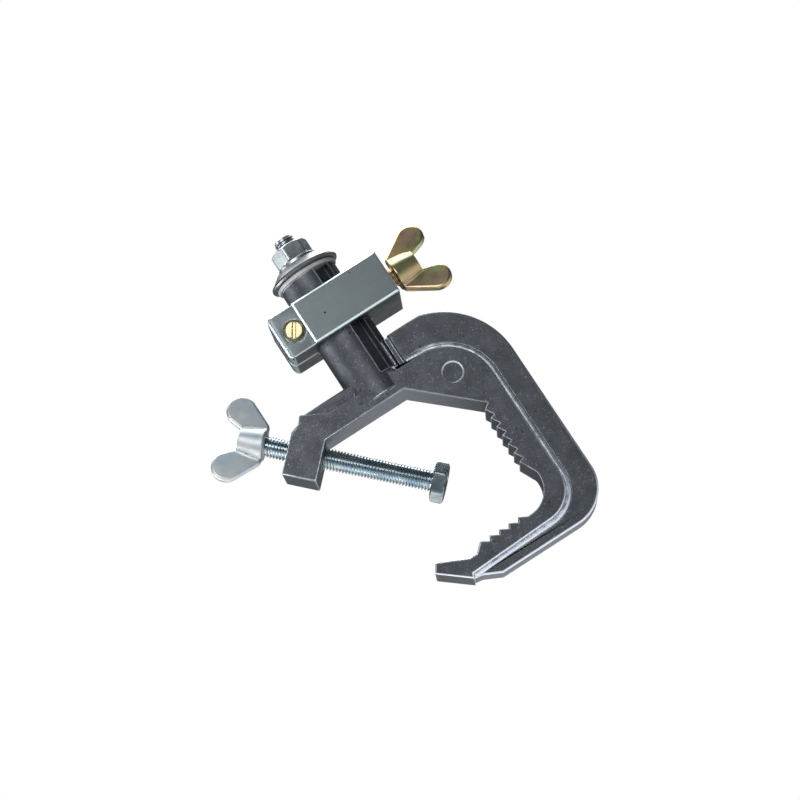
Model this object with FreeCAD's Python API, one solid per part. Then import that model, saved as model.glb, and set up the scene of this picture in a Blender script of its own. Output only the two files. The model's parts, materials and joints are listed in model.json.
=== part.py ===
import FreeCAD, Part
import math
import os

# Tube clamp with a hooked, toothed jaw, a 45 degree clamping screw and a swivel block on a post.
# Frame: millimetres. The origin is the centre of the reference tube held in the jaw, on the
# casting's mid-plane. +Y runs along the tube, +Z along the post towards its nut, and +X from the
# clamping screw's boss towards the hook.

Vec = FreeCAD.Vector
Y_AXIS = Vec(0, 1, 0)
Z_AXIS = Vec(0, 0, 1)
X_AXIS = Vec(1, 0, 0)
ROOT2 = math.sqrt(2)

# ---- driving dimensions -------------------------------------------------------------------------
tube_r = 19.05            # reference tube, 38.1 mm across, touching both rows of teeth
thread_r = 5.0            # M10 jaw screw, stud and lock bolt
nut_thread_r = 4.6        # stud and nut where their threads engage
running_gap = 0.05        # radial clearance of a thread or shaft in its bore

# casting thicknesses along Y, outermost band first
band_t = 18.0
step_t = 22.0
core_t = 26.0

# hook, outer silhouette
hook_x = 46.15            # outside of the back leg
hook_top_r = 38.4         # outside radius over the top
hook_top_z = 48.95        # height of that radius's centre
heel_r = 19.5             # outside radius at the heel
foot_z = -36.25           # underside of the lower leg

# hook, raised core
core_x = 32.0             # outside of the core on the back leg
core_top_r = 25.0
core_top_z = 44.6
core_heel_r = 16.0
core_heel_z = -12.0
step_w = 2.6              # width of the terrace between core and outer band

# jaw teeth
tooth_d = 2.4             # depth
tooth_back_n = 6          # on the back leg
tooth_back_top = 31.0
tooth_back_pitch = 4.83
tooth_low_n = 5           # on the lower leg
tooth_low_end = -16.2
tooth_low_pitch = 5.15

# throat between the two rows of teeth
throat_r = 13.2
throat_x = 9.9
throat_z = -8.0

# arm
arm_under_z = 59.2
arm_core_top_z = 69.2
arm_web_top_z = 75.5
roof_corner_x = -6.8      # where the arm's underside turns down to the back leg
roof_low = (22.0, 33.0)   # where that slope meets the teeth

# screw boss, measured along and across the 45 degree screw axis
boss_out = -93.25
boss_in = -77.25
boss_low = -13.6
boss_high = 10.2
insert_r = 6.5

# shallow round dimple in the core, with a sloped wall
recess_x = 16.3
recess_z = 54.0
recess_r = 5.5
recess_deep = 1.2
recess_slope = 1.1

# post
post_x = -15.25
post_r = 14.5
post_top = 130.95
flute_w = 8.3
flute_deep = 4.5
flute_turn = 32.0         # degrees from the front towards the hook
stud_hole_bottom = 82.0
stud_end = 154.0

# parts stacked on the post
friction_r = 15.6
friction_t = 2.0
cup_r = 17.6
cup_h = 6.0
cup_sheet = 2.0
washer_r = 10.0
washer_t = 2.0
nut_af = 17.0
nut_h = 8.0

# swivel block
block_x0 = -43.75
block_x1 = 16.25
block_z0 = 98.65
block_h = 22.2
block_y0 = -16.5
block_y1 = 19.0
block_bore_gap = 0.08
plate_t = 2.5
plate_x0 = -29.55
slit_w = 2.0
tension_x = -34.75
tension_r = 2.5
tension_head_r = 4.0
tension_head_h = 2.2
tension_washer_r = 3.9
tension_washer_t = 0.6
tension_seat_r = 4.9      # counterbore round the screw's head
tension_seat = 1.4
small_nut_af = 8.0
small_nut_h = 4.0
lock_insert_r = 7.0
lock_insert_len = 12.25

# lock bolt
shoe_r = 4.1
shoe_len = 3.5
shoe_stem_r = 2.0
shoe_stem = 2.0
lock_wing_x = 19.6

# wing heads on both screws
wing_hub_r0 = 8.2
wing_hub_r1 = 6.3
wing_hub_h = 12.4
wing_ear_t = 3.8
wing_base_r = 9.6
jaw_lobe_r = 7.2
jaw_lobe_at = (14.5, 14.8)
lock_lobe_r = 6.7
lock_lobe_at = (13.2, 16.2)
wing_pin_r = 1.5
wing_pin_up = 6.5
wing_pin_blind = 5.8      # how far past the screw's axis the cross pin's hole goes
jaw_wing_turn = 14.0      # degrees the flat of the wings is turned from the casting's plane
lock_wing_turn = -20.0

# jaw screw, distances along its axis from the tube's centre
jaw_foot_face = -19.35
jaw_foot_h = 6.4
jaw_wing_at = -105.4
foot_neck_r = 3.4
foot_socket = 4.6
foot_ring_r = 4.3
foot_ring_t = 1.0
thrust_gap = 0.1


# ---- helpers ------------------------------------------------------------------------------------
def at(x, z, y=0.0):
    return Vec(x, y, z)


def on_screw(along, across):
    """Point given along and across the 45 degree axis of the jaw screw."""
    return ((along + across) / ROOT2, (across - along) / ROOT2)


def on_circle(cx, cz, r, degrees):
    a = math.radians(degrees)
    return at(cx + r * math.cos(a), cz + r * math.sin(a))


def outline(items):
    """Closed wire in the XZ plane. An item is a corner (x, z) or an arc (cx, cz, r, from, to)."""
    edges = []
    first = None
    last = None
    for item in items:
        curve = None
        if len(item) == 2:
            start = at(*item)
            end = start
        else:
            cx, cz, r, a0, a1 = item
            start = on_circle(cx, cz, r, a0)
            end = on_circle(cx, cz, r, a1)
            curve = Part.Arc(start, on_circle(cx, cz, r, (a0 + a1) / 2), end).toShape()
        if last is None:
            first = start
        elif start.distanceToPoint(last) > 1e-6:
            edges.append(Part.LineSegment(last, start).toShape())
        if curve is not None:
            edges.append(curve)
        last = end
    if last.distanceToPoint(first) > 1e-6:
        edges.append(Part.LineSegment(last, first).toShape())
    return Part.Wire(edges)


def slab(items, thickness):
    """Plate of one outline, centred on the casting's mid-plane."""
    face = Part.Face(outline(items))
    face.translate(Vec(0, -thickness / 2, 0))
    return face.extrude(Vec(0, thickness, 0))


def rod(r, start, direction, length):
    return Part.makeCylinder(r, length, start, direction)


def ring(outer, inner, start, direction, length):
    return rod(outer, start, direction, length).cut(rod(inner, start, direction, length))


def hexagon(across_flats, height):
    """Hexagonal prism standing on the XY plane, with chamfered corners on both faces."""
    corner_r = across_flats / math.sqrt(3)
    corners = [Vec(corner_r * math.cos(math.radians(60 * i)),
                   corner_r * math.sin(math.radians(60 * i)), 0) for i in range(7)]
    prism = Part.Face(Part.makePolygon(corners)).extrude(Vec(0, 0, height))
    bevel = (corner_r - across_flats / 2) * 0.6
    low = Part.makeCone(across_flats / 2, across_flats / 2 + height / bevel * (corner_r - across_flats / 2),
                        height)
    high = low.mirror(Vec(0, 0, height / 2), Z_AXIS)
    return prism.common(low).common(high)


def place(shape, base, direction, turn=0.0):
    """Moves a shape built up the Z axis so that it stands at base and points along direction."""
    swing = FreeCAD.Rotation(Z_AXIS, direction)
    spin = FreeCAD.Rotation(direction, turn)
    shape = shape.copy()
    shape.Placement = FreeCAD.Placement(base, spin.multiply(swing))
    return shape


def tangent_angle(px, pz, cx, cz, r, side):
    """Angle on a circle where a line from a point touches it, on the chosen side."""
    reach = math.hypot(px - cx, pz - cz)
    towards = math.degrees(math.atan2(pz - cz, px - cx))
    return towards + side * math.degrees(math.acos(r / reach))


# ---- casting ------------------------------------------------------------------------------------
def back_teeth():
    """Row of teeth on the back leg, from its lower end up."""
    points = []
    low = tooth_back_top - tooth_back_n * tooth_back_pitch
    for i in range(tooth_back_n):
        z = low + i * tooth_back_pitch
        points.append((tube_r + tooth_d, z + 0.15 * tooth_back_pitch))
        points.append((tube_r, z + tooth_back_pitch))
    return [(tube_r, low)] + points


def low_teeth():
    """Row of teeth on the lower leg, from the tip towards the throat."""
    points = []
    for i in range(tooth_low_n):
        x = tooth_low_end + i * tooth_low_pitch
        points.append((x, -tube_r))
        points.append((x + 0.85 * tooth_low_pitch, -tube_r - tooth_d))
    return points


def jaw_inside():
    """Inner edge of the jaw, from the tip of the lower leg round to the arm's underside."""
    edge = [(-41.35, -20.45), (-38.55, -16.15), (-24.15, -22.85), (-20.4, -22.85)]
    edge += low_teeth()
    edge.append((throat_x, throat_z, throat_r, -95, 8))
    edge += back_teeth()
    edge.append(roof_low)
    edge.append((roof_corner_x, arm_under_z))
    return edge


def boss_corners(grow):
    """Outer end of the arm with the boss, from the arm's underside round to its top edge."""
    inner_z = arm_under_z
    inner_x = inner_z * -1 + boss_in * ROOT2 + 2 * inner_z
    return [(inner_x, inner_z),
            on_screw(boss_in, boss_low),
            on_screw(boss_out - grow, boss_low),
            on_screw(boss_out - grow, boss_high - 3.5),
            on_screw(boss_out + 2.2, boss_high + 0.8)]


def hook_core():
    """Raised core: boss, arm, top curve, back leg and lower leg with the teeth."""
    items = [(16.0, core_heel_z, core_heel_r, 0, -90),
             (-26.5, core_heel_z - core_heel_r - 1.6),
             (-27.25, -31.95)]
    items += jaw_inside()
    items += boss_corners(0.0)
    items += [(-54.0, arm_web_top_z), (-42.0, arm_core_top_z)]
    items.append((core_x - core_top_r, core_top_z, core_top_r, 80, 0))
    return slab(items, core_t)


def hook_terrace():
    """Narrow step that runs along the outside of the core."""
    top_r = core_top_r + step_w
    low_r = core_heel_r + step_w
    items = [(16.0, core_heel_z, low_r, 0, -90),
             (-25.5, core_heel_z - low_r - 1.0),
             (-30.0, -27.0),
             (16.0, -25.0),
             (28.0, core_heel_z),
             (28.0, core_top_z),
             (6.0, 64.0),
             (post_x, 64.0),
             (post_x, arm_core_top_z + step_w),
             (core_x - core_top_r, core_top_z, top_r, 88, 0)]
    return slab(items, step_t)


def hook_band():
    """Thinner outer band, from the arm's web round the hook to the lower leg."""
    items = [(hook_x - heel_r, foot_z + heel_r, heel_r, 0, -90),
             (-14.75, foot_z),
             (-23.25, -32.1),
             (-27.0, -31.5),
             (-30.0, -27.0),
             (16.0, -25.0),
             (28.0, core_heel_z),
             (28.0, core_top_z),
             (6.0, 64.0),
             (-50.0, 64.0),
             (-56.0, 70.0),
             (-53.0, arm_web_top_z),
             (post_x, arm_web_top_z),
             (post_x, hook_top_z + hook_top_r - 3.0),
             (post_x + post_r + 1.5, hook_top_z + hook_top_r - 1.3),
             (hook_x - hook_top_r, hook_top_z, hook_top_r, 75, 0)]
    return slab(items, band_t)


def post_flute():
    """Long groove down the post, on the side turned towards the hook."""
    reach = post_r - flute_deep
    cutter = Part.makeBox(flute_w, 10.0, post_top - 72.0, Vec(-flute_w / 2, -reach - 10.0, 72.0))
    cutter.rotate(Vec(0, 0, 0), Z_AXIS, flute_turn)
    cutter.translate(Vec(post_x, 0, 0))
    return cutter


def end_gap():
    """Slots that part the outer band from the post on both faces."""
    near = Part.makeBox(3.2, 6.0, 30.0, Vec(post_x + post_r - 1.9, -band_t / 2 - 2.0, 70.0))
    far = near.mirror(Vec(0, 0, 0), Y_AXIS)
    return near.fuse(far)


def make_casting():
    body = hook_core().fuse(hook_terrace()).fuse(hook_band())
    body = body.cut(end_gap())
    foot = Part.makeCone(post_r + 2.2, post_r, 4.0, Vec(post_x, 0, arm_core_top_z - 2.0), Z_AXIS)
    post = rod(post_r, Vec(post_x, 0, 63.0), Z_AXIS, post_top - 63.0)
    body = body.fuse(post).fuse(foot.common(slab([(-40, 60), (-40, 80), (8, 80), (8, 60)], core_t)))
    body = body.cut(post_flute())
    body = body.cut(rod(thread_r, Vec(post_x, 0, stud_hole_bottom), Z_AXIS, 60.0))
    dowel = rod(2.0, Vec(post_x, 0, stud_hole_bottom + 6.0), Y_AXIS, 20.0)
    body = body.cut(dowel)
    body = body.cut(Part.makeCone(recess_r, recess_r - recess_slope, recess_deep,
                                  Vec(recess_x, -core_t / 2, recess_z), Y_AXIS))
    body = body.cut(screw_rod(insert_r, boss_out - 1.0, boss_in + 1.0))
    return body.removeSplitter()


# ---- jaw screw ----------------------------------------------------------------------------------
screw_dir = Vec(1 / ROOT2, 0, -1 / ROOT2)


def screw_point(along):
    return Vec(along / ROOT2, 0, -along / ROOT2)


def screw_rod(r, start, end):
    return rod(r, screw_point(start), screw_dir, end - start)


def make_boss_insert():
    length = boss_in - boss_out
    return ring(insert_r, thread_r + running_gap, screw_point(boss_out), screw_dir, length)


def pin_hole():
    """Cylinder of the cross pin's blind hole, drilled from behind."""
    return rod(wing_pin_r, Vec(0, -wing_pin_blind, wing_pin_up), Y_AXIS, wing_pin_blind + 12.0)


def wing_head(base, direction, turn, lobe_at, lobe_r):
    """Cast wing with a tapered hub and two rounded ears, bored for its screw."""
    hub = Part.makeCone(wing_hub_r0, wing_hub_r1, wing_hub_h)
    cx, cz = lobe_at
    out = tangent_angle(wing_base_r, 0, cx, cz, lobe_r, 1)
    back = tangent_angle(4.5, wing_hub_h - 1.5, cx, cz, lobe_r, -1)
    ear = [(0, 0), (wing_base_r, 0), (cx, cz, lobe_r, out, back + 360.0 * (back < out)),
           (4.5, wing_hub_h - 1.5), (0, wing_hub_h - 1.5)]
    right = slab(ear, wing_ear_t)
    left = right.mirror(Vec(0, 0, 0), X_AXIS)
    head = hub.fuse(right).fuse(left)
    head = head.cut(rod(thread_r, Vec(0, 0, -1), Z_AXIS, wing_hub_h + 2))
    head = head.cut(pin_hole()).removeSplitter()
    return place(head, base, direction, turn)


def wing_pin(base, direction, turn):
    """Cross pin that locks a wing head to its screw."""
    start = 0.2 - wing_pin_blind
    pin = rod(wing_pin_r, Vec(0, start, wing_pin_up), Y_AXIS, 6.6 - start)
    return place(pin, base, direction, turn)


def pinned(shape, base, direction, turn):
    """Drills a screw for the cross pin of its wing head."""
    return shape.cut(place(pin_hole(), base, direction, turn))


def make_jaw_rod():
    shoulder = jaw_foot_face - jaw_foot_h - thrust_gap
    shaft = screw_rod(thread_r, jaw_wing_at - wing_hub_h, shoulder)
    neck = screw_rod(foot_neck_r, shoulder, shoulder + foot_socket - 0.2)
    groove_at = shoulder + foot_socket - 2.6
    groove = ring(foot_neck_r + 1, foot_neck_r - 0.7, screw_point(groove_at), screw_dir,
                  foot_ring_t + 2 * thrust_gap)
    shaft = shaft.fuse(neck.cut(groove)).removeSplitter()
    return pinned(shaft, screw_point(jaw_wing_at), -screw_dir, jaw_wing_turn)


def make_jaw_foot():
    back = jaw_foot_face - jaw_foot_h
    foot = place(hexagon(nut_af, jaw_foot_h), screw_point(back), screw_dir, 12.0)
    foot = foot.cut(screw_rod(foot_neck_r + running_gap, back - 1, back + foot_socket))
    ring_at = back + foot_socket - 2.6
    return foot.cut(screw_rod(foot_ring_r, ring_at, ring_at + foot_ring_t))


def make_foot_ring():
    """Retaining ring that lets the foot turn on the screw's neck."""
    back = jaw_foot_face - jaw_foot_h
    start = screw_point(back + foot_socket - 2.6)
    return ring(foot_ring_r, foot_neck_r - 0.6, start, screw_dir, foot_ring_t)


# ---- post stack ---------------------------------------------------------------------------------
def make_stud():
    nut_z = post_top + friction_t + cup_h + washer_t
    shank = rod(thread_r, Vec(post_x, 0, stud_hole_bottom), Z_AXIS, nut_z - stud_hole_bottom)
    engaged = rod(nut_thread_r, Vec(post_x, 0, nut_z), Z_AXIS, nut_h)
    end = rod(thread_r, Vec(post_x, 0, nut_z + nut_h), Z_AXIS, stud_end - 1.0 - nut_z - nut_h)
    tip = Part.makeCone(thread_r, thread_r - 1.0, 1.0, Vec(post_x, 0, stud_end - 1.0), Z_AXIS)
    stud = shank.fuse(engaged).fuse(end).fuse(tip).removeSplitter()
    return stud.cut(rod(2.0, Vec(post_x, -7, stud_hole_bottom + 6.0), Y_AXIS, 14.0))


def make_stud_dowel():
    """Dowel through the post from behind, which keeps the stud from turning."""
    reach = math.sqrt(post_r ** 2 - 2.0 ** 2) - 0.1
    return rod(2.0, Vec(post_x, -thread_r + 0.2, stud_hole_bottom + 6.0), Y_AXIS, reach + thread_r - 0.2)


def make_friction_washer():
    return ring(friction_r, thread_r + 0.2, Vec(post_x, 0, post_top), Z_AXIS, friction_t)


def make_cup_washer():
    """Domed steel washer, open downwards, that spreads the nut's load."""
    base = post_top + friction_t
    rise = cup_h - cup_sheet
    outer = [(0, 0), (cup_r, 0), (cup_r, cup_sheet), (washer_r + 1.0, cup_h), (0, cup_h)]
    inner = [(0, -1), (cup_r - 4.0, -1), (cup_r - 4.0, 0), (washer_r - 1.0, rise), (0, rise)]
    solid = revolve(outer).cut(revolve(inner))
    solid = solid.cut(rod(thread_r + 0.3, Vec(0, 0, -1), Z_AXIS, cup_h + 2))
    solid.translate(Vec(post_x, 0, base))
    return solid


def revolve(corners):
    """Turned solid from half a section given as (radius, height) corners."""
    points = [at(r, z) for r, z in corners]
    face = Part.Face(Part.makePolygon(points + [points[0]]))
    return face.revolve(Vec(0, 0, 0), Z_AXIS, 360)


def make_plain_washer():
    base = post_top + friction_t + cup_h
    return ring(washer_r, thread_r + 0.3, Vec(post_x, 0, base), Z_AXIS, washer_t)


def make_stud_nut():
    base = Vec(post_x, 0, post_top + friction_t + cup_h + washer_t)
    nut = place(hexagon(nut_af, nut_h), base, Z_AXIS, 10.0)
    return nut.cut(rod(nut_thread_r, base - Vec(0, 0, 1), Z_AXIS, nut_h + 2))


# ---- swivel block -------------------------------------------------------------------------------
block_mid_z = block_z0 + block_h / 2


def block_edges(shape):
    """Outside edges of the block's nose that are rounded."""
    found = []
    for edge in shape.Edges:
        box = edge.BoundBox
        if box.XMax < block_x0 + 0.01:
            found.append(edge)
    return found


def make_swivel_block():
    block = Part.makeBox(block_x1 - block_x0, block_y1 - block_y0, block_h,
                         Vec(block_x0, block_y0, block_z0))
    block = block.makeFillet(3.0, block_edges(block))
    block = block.cut(rod(post_r + block_bore_gap, Vec(post_x, 0, block_z0 - 1), Z_AXIS, block_h + 2))
    slit = Part.makeBox(post_x - block_x0 + 1, slit_w, block_h + 2,
                        Vec(block_x0 - 1, -slit_w / 2, block_z0 - 1))
    block = block.cut(slit)
    block = block.cut(rod(tension_r + 0.2, Vec(tension_x, block_y0 - 1, block_mid_z), Y_AXIS, 60))
    block = block.cut(rod(tension_seat_r, Vec(tension_x, block_y0, block_mid_z), Y_AXIS, tension_seat))
    pocket = small_nut(small_nut_af + 0.1, small_nut_h + 1)
    block = block.cut(pocket)
    bore = rod(thread_r + running_gap, Vec(post_x, 0, block_mid_z), X_AXIS, 40)
    seat = rod(lock_insert_r, Vec(block_x1 - lock_insert_len, 0, block_mid_z), X_AXIS, 40)
    return block.cut(bore).cut(seat)


def small_nut(across_flats, height):
    """Hexagon for the tension screw's nut, let into the back of the block."""
    return place(hexagon(across_flats, height),
                 Vec(tension_x, block_y1 - small_nut_h, block_mid_z), Y_AXIS, 0)


def make_tension_nut():
    return small_nut(small_nut_af, small_nut_h).cut(
        rod(tension_r, Vec(tension_x, 0, block_mid_z), Y_AXIS, 30))


def make_tension_washer():
    start = Vec(tension_x, block_y0 + tension_seat - tension_washer_t, block_mid_z)
    return ring(tension_washer_r, tension_r + 0.2, start, Y_AXIS, tension_washer_t)


def make_tension_screw():
    """Slotted cheese-head screw that closes the block's slit."""
    face_y = block_y0 + tension_seat - tension_washer_t
    shank = rod(tension_r, Vec(tension_x, face_y, block_mid_z), Y_AXIS, block_y1 - 0.4 - face_y)
    head = rod(tension_head_r, Vec(tension_x, face_y - tension_head_h, block_mid_z), Y_AXIS,
               tension_head_h)
    slot = Part.makeBox(1.6, 1.3, 10, Vec(-0.8, face_y - tension_head_h - 0.1, -5))
    slot.rotate(Vec(0, 0, 0), Y_AXIS, 33)
    slot.translate(Vec(tension_x, 0, block_mid_z))
    return shank.fuse(head).removeSplitter().cut(slot)


def make_face_plate():
    plate = Part.makeBox(block_x1 - plate_x0, plate_t, block_h, Vec(plate_x0, block_y0 - plate_t, block_z0))
    front = [e for e in plate.Edges if e.BoundBox.YMax < block_y0 - plate_t + 0.01]
    return plate.makeChamfer(0.9, front)


def make_lock_insert():
    start = Vec(block_x1 - lock_insert_len, 0, block_mid_z)
    return ring(lock_insert_r, thread_r + running_gap, start, X_AXIS, lock_insert_len)


# ---- lock bolt ----------------------------------------------------------------------------------
shoe_x = post_x + post_r + 0.06


def make_lock_shoe():
    """Brass shoe that the lock bolt presses on the post."""
    shoe = rod(shoe_r, Vec(shoe_x, 0, block_mid_z), X_AXIS, shoe_len)
    socket = rod(shoe_stem_r + running_gap, Vec(shoe_x + shoe_len - shoe_stem - 0.2, 0, block_mid_z),
                 X_AXIS, 10)
    return shoe.cut(socket)


def make_lock_rod():
    start = shoe_x + shoe_len + thrust_gap
    shaft = rod(thread_r, Vec(start, 0, block_mid_z), X_AXIS, lock_wing_x + wing_hub_h - start)
    stem = rod(shoe_stem_r, Vec(start - shoe_stem, 0, block_mid_z), X_AXIS, shoe_stem)
    shaft = shaft.fuse(stem).removeSplitter()
    return pinned(shaft, Vec(lock_wing_x, 0, block_mid_z), X_AXIS, lock_wing_turn)


# ---- all pieces ---------------------------------------------------------------------------------
jaw_wing_base = screw_point(jaw_wing_at)
lock_wing_base = Vec(lock_wing_x, 0, block_mid_z)

pieces = {
    "hook_casting": make_casting(),
    "boss_insert": make_boss_insert(),
    "jaw_rod": make_jaw_rod(),
    "jaw_foot": make_jaw_foot(),
    "jaw_foot_ring": make_foot_ring(),
    "jaw_wing": wing_head(jaw_wing_base, -screw_dir, jaw_wing_turn, jaw_lobe_at, jaw_lobe_r),
    "jaw_wing_pin": wing_pin(jaw_wing_base, -screw_dir, jaw_wing_turn),
    "stud": make_stud(),
    "stud_dowel": make_stud_dowel(),
    "friction_washer": make_friction_washer(),
    "cup_washer": make_cup_washer(),
    "plain_washer": make_plain_washer(),
    "stud_nut": make_stud_nut(),
    "swivel_block": make_swivel_block(),
    "face_plate": make_face_plate(),
    "tension_screw": make_tension_screw(),
    "tension_washer": make_tension_washer(),
    "tension_nut": make_tension_nut(),
    "lock_insert": make_lock_insert(),
    "lock_shoe": make_lock_shoe(),
    "lock_rod": make_lock_rod(),
    "lock_wing": wing_head(lock_wing_base, X_AXIS, lock_wing_turn, lock_lobe_at, lock_lobe_r),
    "lock_wing_pin": wing_pin(lock_wing_base, X_AXIS, lock_wing_turn),
}

os.makedirs("parts", exist_ok=True)
for name, shape in pieces.items():
    shape.exportStep("parts/" + name + ".step")
    box = shape.BoundBox
    print("%-16s solids %d valid %s volume %9.1f  x %.2f..%.2f y %.2f..%.2f z %.2f..%.2f" % (
        name, len(shape.Solids), shape.isValid(), shape.Volume,
        box.XMin, box.XMax, box.YMin, box.YMax, box.ZMin, box.ZMax))
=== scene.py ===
import json
import math

import bmesh
import bpy
from bpy.props import FloatProperty, FloatVectorProperty, IntProperty, PointerProperty
from mathutils import Matrix, Quaternion, Vector


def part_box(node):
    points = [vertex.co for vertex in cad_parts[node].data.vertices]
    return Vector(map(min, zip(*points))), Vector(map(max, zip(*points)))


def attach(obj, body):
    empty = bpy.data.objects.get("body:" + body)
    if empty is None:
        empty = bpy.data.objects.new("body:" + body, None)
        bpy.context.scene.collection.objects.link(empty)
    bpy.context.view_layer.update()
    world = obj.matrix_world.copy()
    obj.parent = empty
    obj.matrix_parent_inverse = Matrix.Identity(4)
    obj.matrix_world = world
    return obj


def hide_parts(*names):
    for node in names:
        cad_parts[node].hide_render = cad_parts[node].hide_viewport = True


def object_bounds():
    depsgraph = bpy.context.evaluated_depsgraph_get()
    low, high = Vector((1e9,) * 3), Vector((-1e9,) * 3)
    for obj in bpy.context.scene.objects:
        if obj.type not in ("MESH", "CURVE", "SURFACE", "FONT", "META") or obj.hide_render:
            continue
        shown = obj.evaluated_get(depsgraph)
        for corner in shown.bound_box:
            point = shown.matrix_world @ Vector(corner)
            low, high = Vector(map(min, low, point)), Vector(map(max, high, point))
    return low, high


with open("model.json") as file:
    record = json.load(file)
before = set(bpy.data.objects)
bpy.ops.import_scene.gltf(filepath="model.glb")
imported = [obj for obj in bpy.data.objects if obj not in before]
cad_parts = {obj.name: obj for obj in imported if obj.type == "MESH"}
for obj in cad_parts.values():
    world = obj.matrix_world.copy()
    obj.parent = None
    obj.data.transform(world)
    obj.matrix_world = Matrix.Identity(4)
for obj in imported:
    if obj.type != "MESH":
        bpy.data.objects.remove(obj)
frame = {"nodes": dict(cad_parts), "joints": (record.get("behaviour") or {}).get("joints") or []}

bl_info = {
    "name": "Tube Clamp",
    "version": (1, 0, 0),
    "blender": (4, 5, 0),
    "location": "3D View > Sidebar > Tube Clamp",
    "description": "Builds the finished pieces of a hooked tube clamp on its fixed frame",
    "category": "Object",
}

CAD_BOX = [list(corner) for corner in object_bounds()]
JOINTS = {joint["name"]: joint for joint in frame["joints"]}
SCREW_AXIS = Vector(JOINTS["jaw_feed"]["axis"]).normalized()
LOCK_AXIS = Vector(JOINTS["lock_feed"]["axis"]).normalized()
POST_AXIS = Vector((0, 0, 1))
PIVOT = Vector(JOINTS["swivel_turn"]["pos_m"])

THREAD_R = 0.005          # M10
END_TAPER = 0.0006        # chamfer on a screw's ends
END_GAP = 0.0001          # clearance between a screw's shoulder and the part that it turns in

# the casting, in millimetres
TERRACE = 11              # half thickness of the step between the outer band and the core
RIM_SHARES = {9: 0.6, TERRACE: 1.0, 13: 0.45}    # rounding of the rims, by half thickness
DIMPLE = (16.3, 54.0)     # centre of the round dimple
DIMPLE_REACH = 6.0
POST_REACH = 15.0

# lights by name, place, size and power, placed along the camera's right, up and back
CAMERA_LIGHTS = (
    ("key", (-0.45, 0.35, 0.9), (0.6, 0.6), 4.0),
    ("under", (0.6, -0.8, 0.12), (0.7, 0.5), 17.0),
    ("left", (-0.85, -0.55, 0.08), (0.5, 0.5), 7.0),
)
# the same, placed along the clamp's own axes
ROOM_LIGHTS = (
    ("overhead", (0.1, 0.3, 1.3), (1.2, 1.2), 18.0),
    ("rear", (0.5, 0.9, 0.9), (0.8, 0.8), 8.0),
)


# ---- settings -----------------------------------------------------------------------------------
class ClampShape(bpy.types.PropertyGroup):
    """Sizes of the worked edges and threads"""
    cast_edge: FloatProperty(
        name="Casting edge", description="Radius on the outer edges of the casting",
        default=0.0016, unit="LENGTH")
    block_edge: FloatProperty(
        name="Block edge", description="Radius on the edges of the swivel block",
        default=0.0011, unit="LENGTH")
    wing_edge: FloatProperty(
        name="Wing edge", description="Radius on the edges of the wing heads",
        default=0.0012, unit="LENGTH")
    turned_edge: FloatProperty(
        name="Turned edge", description="Radius on nuts, washers and screw heads",
        default=0.0003, unit="LENGTH")
    thread_pitch: FloatProperty(
        name="Thread pitch", description="Pitch of the M10 threads",
        default=0.0015, unit="LENGTH")
    thread_depth: FloatProperty(
        name="Thread depth", description="Depth of the M10 threads",
        default=0.00085, unit="LENGTH")
    thread_steps: IntProperty(
        name="Thread steps", description="Steps round one turn of a thread",
        default=28, min=12)


class ClampFinish(bpy.types.PropertyGroup):
    """Colours of the finishes"""
    casting: FloatVectorProperty(
        name="Casting", description="Tumbled cast aluminium",
        default=(0.105, 0.113, 0.128), size=3, subtype="COLOR")
    block: FloatVectorProperty(
        name="Block", description="Satin aluminium of the swivel block",
        default=(0.16, 0.185, 0.195), size=3, subtype="COLOR")
    plate: FloatVectorProperty(
        name="Plate", description="Ground aluminium of the face plate",
        default=(0.165, 0.195, 0.20), size=3, subtype="COLOR")
    zinc: FloatVectorProperty(
        name="Zinc", description="Bright zinc plate",
        default=(0.62, 0.68, 0.72), size=3, subtype="COLOR")
    yellow_zinc: FloatVectorProperty(
        name="Yellow zinc", description="Yellow chromate over zinc",
        default=(0.62, 0.50, 0.24), size=3, subtype="COLOR")
    brass: FloatVectorProperty(
        name="Brass", description="Turned brass",
        default=(0.75, 0.62, 0.36), size=3, subtype="COLOR")


class ClampStage(bpy.types.PropertyGroup):
    """Camera and light"""
    azimuth: FloatProperty(
        name="Azimuth", description="Camera's turn round the clamp",
        default=math.radians(-4.0), subtype="ANGLE")
    elevation: FloatProperty(
        name="Elevation", description="Camera's height angle",
        default=math.radians(-11.0), subtype="ANGLE")
    roll: FloatProperty(
        name="Roll", description="Camera's turn about its own line of sight",
        default=math.radians(-33.3), subtype="ANGLE")
    distance: FloatProperty(
        name="Distance", description="Camera's distance from the clamp",
        default=1.2, unit="LENGTH")
    field: FloatProperty(
        name="Field", description="Width seen at the clamp",
        default=0.372, unit="LENGTH")
    target: FloatVectorProperty(
        name="Target", description="Point the camera looks at",
        default=(-0.0103, 0.0, 0.0586), size=3, subtype="TRANSLATION")
    floor_drop: FloatProperty(
        name="Floor drop", description="Height of the clamp above the floor",
        default=0.36, unit="LENGTH")


# ---- shader groups ------------------------------------------------------------------------------
def add(tree, kind, inputs=None, **settings):
    """New shader node with its settings and the values or links of its inputs."""
    node = tree.nodes.new(kind)
    for key, value in settings.items():
        setattr(node, key, value)
    for key, value in (inputs or {}).items():
        if isinstance(value, bpy.types.NodeSocket):
            tree.links.new(value, node.inputs[key])
        else:
            node.inputs[key].default_value = value
    return node


def maths(tree, operation, a, b=0.0, clamp=False):
    return add(tree, "ShaderNodeMath", {0: a, 1: b}, operation=operation, use_clamp=clamp).outputs[0]


def remap(tree, value, low, high, to_low=0.0, to_high=1.0):
    node = add(tree, "ShaderNodeMapRange", {
        "Value": value, "From Min": low, "From Max": high, "To Min": to_low, "To Max": to_high})
    return node.outputs["Result"]


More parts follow.
